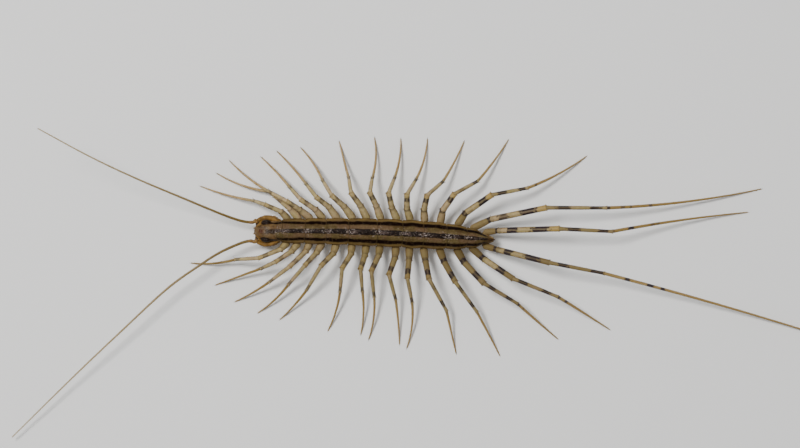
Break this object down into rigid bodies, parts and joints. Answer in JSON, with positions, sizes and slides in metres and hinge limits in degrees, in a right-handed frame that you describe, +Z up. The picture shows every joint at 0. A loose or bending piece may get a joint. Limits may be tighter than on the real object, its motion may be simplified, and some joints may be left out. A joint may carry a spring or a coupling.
{
  "type": "house centipede model",
  "caption": "Still life-size house centipede standing with arched legs spread, long feelers forward and longer last legs trailing.",
  "frame": {"origin": "middle of the model's box, on the floor under it", "axes": "+X from the head to the tail, +Y to the animal's right, +Z up from the floor"},
  "size_m": [0.1124, 0.0426, 0.0147],
  "materials": {
    "tergite": "waxy shell plates, olive brown with three near-black stripes and a golden margin",
    "head": "waxy shell, brown with darker speckles",
    "eye": "near-black, finely faceted",
    "amber": "waxy amber shell",
    "antenna": "waxy amber rings",
    "leg": "waxy tan shell with dark bands"
  },
  "bodies": {
    "root": {"trunk_front": "tergite", "trunk_middle": "tergite", "trunk_rear": "tergite", "trunk_hind": "tergite", "telson": "amber", "head": "head", "eye_right": "eye", "eye_left": "eye", "antenna_right": "antenna", "antenna_left": "antenna", "forcipule_right": "amber", "forcipule_left": "amber", "palp_right": "leg", "palp_left": "leg", "leg_right_01": "leg", "leg_right_02": "leg", "leg_right_03": "leg", "leg_right_04": "leg", "leg_right_05": "leg", "leg_right_06": "leg", "leg_right_07": "leg", "leg_right_08": "leg", "leg_right_09": "leg", "leg_right_10": "leg", "leg_right_11": "leg", "leg_right_12": "leg", "leg_right_13": "leg", "leg_right_14": "leg", "leg_right_15": "leg", "leg_left_01": "leg", "leg_left_02": "leg", "leg_left_03": "leg", "leg_left_04": "leg", "leg_left_05": "leg", "leg_left_06": "leg", "leg_left_07": "leg", "leg_left_08": "leg", "leg_left_09": "leg", "leg_left_10": "leg", "leg_left_11": "leg", "leg_left_12": "leg", "leg_left_13": "leg", "leg_left_14": "leg", "leg_left_15": "leg"}
  },
  "joints": []
}
